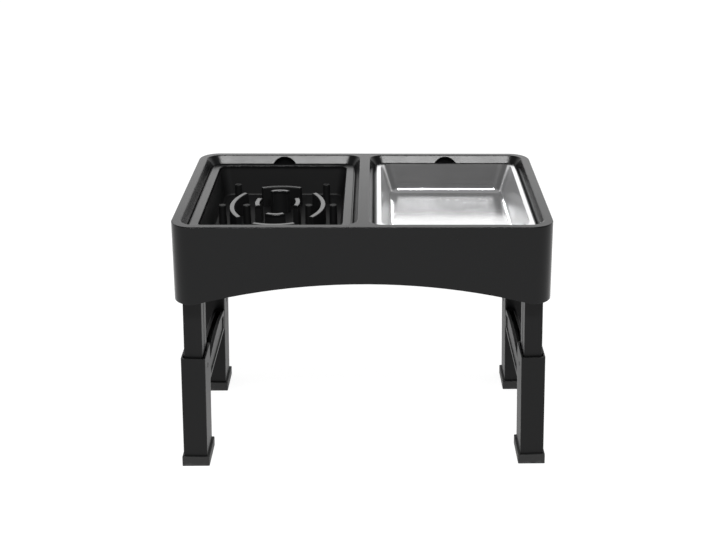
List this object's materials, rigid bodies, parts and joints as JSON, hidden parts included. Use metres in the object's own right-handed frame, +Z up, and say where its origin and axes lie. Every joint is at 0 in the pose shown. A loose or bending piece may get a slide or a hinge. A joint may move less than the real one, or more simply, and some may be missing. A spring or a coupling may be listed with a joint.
{
  "type": "adjustable elevated pet feeder",
  "caption": "Rectangular raised feeding stand with a maze slow-feeder bowl, a pressed steel bowl and folding, height-adjustable telescoping legs.",
  "frame": {"origin": "on the floor under the middle of the table", "axes": "+X to the right along the table's width, +Y to the rear, +Z up; the front faces -Y"},
  "size_m": [0.4334, 0.2712, 0.311],
  "materials": {
    "shell_plastic": "fine satin moulding",
    "feeder_plastic": "satin moulding",
    "maze_plastic": "satin moulding",
    "bowl_steel": "satin-polished pressing",
    "screw_steel": "zinc plated",
    "tube_plastic": "satin moulding",
    "sleeve_plastic": "satin moulding",
    "brace_plastic": "satin moulding",
    "foot_rubber": "matt",
    "glide_plastic": "smooth",
    "bracket_plastic": "moulded",
    "pin_steel": "turned",
    "button_plastic": "smooth",
    "spring_steel": "spring strip"
  },
  "bodies": {
    "table": {"table_shell": "shell_plastic", "bracket_screws": "screw_steel", "hinge_bracket_front_left": "bracket_plastic", "hinge_bracket_rear_left": "bracket_plastic", "hinge_bracket_front_right": "bracket_plastic", "hinge_bracket_rear_right": "bracket_plastic", "hinge_pin_front_left": "pin_steel", "hinge_pin_rear_left": "pin_steel", "hinge_pin_front_right": "pin_steel", "hinge_pin_rear_right": "pin_steel"},
    "left_upper_legs": {"upper_leg_front_left": "tube_plastic", "upper_leg_rear_left": "tube_plastic", "leg_glide_front_left": "glide_plastic", "leg_glide_rear_left": "glide_plastic", "button_spring_front_left": "spring_steel", "button_spring_rear_left": "spring_steel"},
    "left_lower_legs": {"leg_sleeve_front_left": "sleeve_plastic", "leg_sleeve_rear_left": "sleeve_plastic", "foot_front_left": "foot_rubber", "foot_rear_left": "foot_rubber", "cross_brace_left": "brace_plastic"},
    "front_left_button": {"snap_button_front_left": "button_plastic"},
    "rear_left_button": {"snap_button_rear_left": "button_plastic"},
    "right_upper_legs": {"upper_leg_front_right": "tube_plastic", "upper_leg_rear_right": "tube_plastic", "leg_glide_front_right": "glide_plastic", "leg_glide_rear_right": "glide_plastic", "button_spring_front_right": "spring_steel", "button_spring_rear_right": "spring_steel"},
    "right_lower_legs": {"leg_sleeve_front_right": "sleeve_plastic", "leg_sleeve_rear_right": "sleeve_plastic", "foot_front_right": "foot_rubber", "foot_rear_right": "foot_rubber", "cross_brace_right": "brace_plastic"},
    "front_right_button": {"snap_button_front_right": "button_plastic"},
    "rear_right_button": {"snap_button_rear_right": "button_plastic"},
    "slow_feeder": {"slow_feeder_bowl": "feeder_plastic", "feeder_maze": "maze_plastic"},
    "steel_bowl": {"steel_bowl": "bowl_steel"}
  },
  "joints": [
    {"name": "left_fold", "type": "hinge", "parent": "table", "child": "left_upper_legs", "pos_m": [-0.1932, 0, 0.241], "axis": [0, -1, 0], "range_deg": [0, 91.9]},
    {"name": "left_slide", "type": "slide", "parent": "left_upper_legs", "child": "left_lower_legs", "axis": [0.0332, 0, 0.9995], "range_m": [0, 0.06]},
    {"name": "front_left_press", "type": "slide", "parent": "left_upper_legs", "child": "front_left_button", "axis": [0.9995, 0, -0.0332], "range_m": [0, 0.0034], "stiffness_N_per_m": 2000, "springref_m": -0.002, "deforming": ["button_spring_front_left"]},
    {"name": "rear_left_press", "type": "slide", "parent": "left_upper_legs", "child": "rear_left_button", "axis": [0.9995, 0, -0.0332], "range_m": [0, 0.0034], "stiffness_N_per_m": 2000, "springref_m": -0.002, "deforming": ["button_spring_rear_left"]},
    {"name": "right_fold", "type": "hinge", "parent": "table", "child": "right_upper_legs", "pos_m": [0.1932, 0, 0.241], "axis": [0, 1, 0], "range_deg": [0, 91.9]},
    {"name": "right_slide", "type": "slide", "parent": "right_upper_legs", "child": "right_lower_legs", "axis": [-0.0332, 0, 0.9995], "range_m": [0, 0.06]},
    {"name": "front_right_press", "type": "slide", "parent": "right_upper_legs", "child": "front_right_button", "axis": [-0.9995, 0, -0.0332], "range_m": [0, 0.0034], "stiffness_N_per_m": 2000, "springref_m": -0.002, "deforming": ["button_spring_front_right"]},
    {"name": "rear_right_press", "type": "slide", "parent": "right_upper_legs", "child": "rear_right_button", "axis": [-0.9995, 0, -0.0332], "range_m": [0, 0.0034], "stiffness_N_per_m": 2000, "springref_m": -0.002, "deforming": ["button_spring_rear_right"]},
    {"name": "slow_feeder_lift", "type": "slide", "parent": "table", "child": "slow_feeder", "axis": [0, 0, 1], "range_m": [0, 0.06]},
    {"name": "steel_bowl_lift", "type": "slide", "parent": "table", "child": "steel_bowl", "axis": [0, 0, 1], "range_m": [0, 0.06]}
  ]
}
